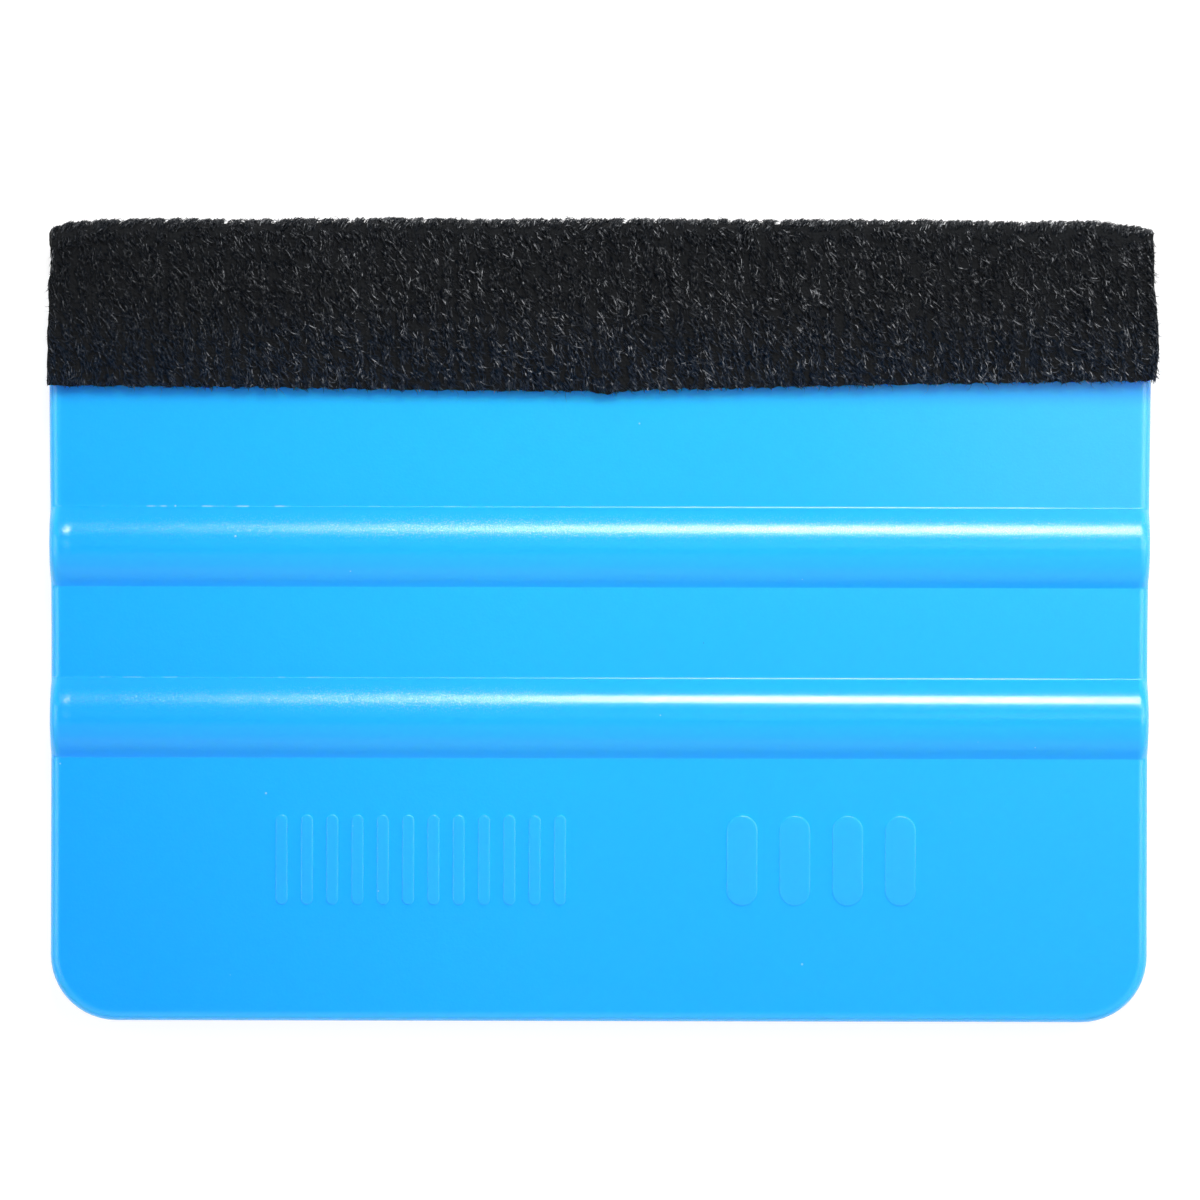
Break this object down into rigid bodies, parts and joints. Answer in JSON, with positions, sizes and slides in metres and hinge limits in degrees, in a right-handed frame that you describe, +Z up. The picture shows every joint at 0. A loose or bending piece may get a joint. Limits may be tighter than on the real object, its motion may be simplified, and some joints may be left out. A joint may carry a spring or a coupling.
{
  "type": "squeegee applicator",
  "caption": "Flat hand squeegee: a moulded plastic card with grip ribs on both faces and a felt strip folded over its working edge.",
  "frame": {"origin": "centre of the footprint, on the plane of the back ribs' crests, which the tool lies on", "axes": "+X across the stroke, +Y from the heel to the felt edge, +Z up out of the front face"},
  "size_m": [0.1006, 0.073, 0.0057],
  "materials": {
    "blade_plastic": "semi-gloss moulded polyolefin, sky blue, faint flow grain",
    "adhesive": "clear double-sided bonding film, hidden between card and felt",
    "felt": "brushed knit felt, black, short slanting pile with light glints"
  },
  "bodies": {
    "root": {"blade": "blade_plastic", "adhesive_film": "adhesive", "felt_strip": "felt"}
  },
  "joints": []
}
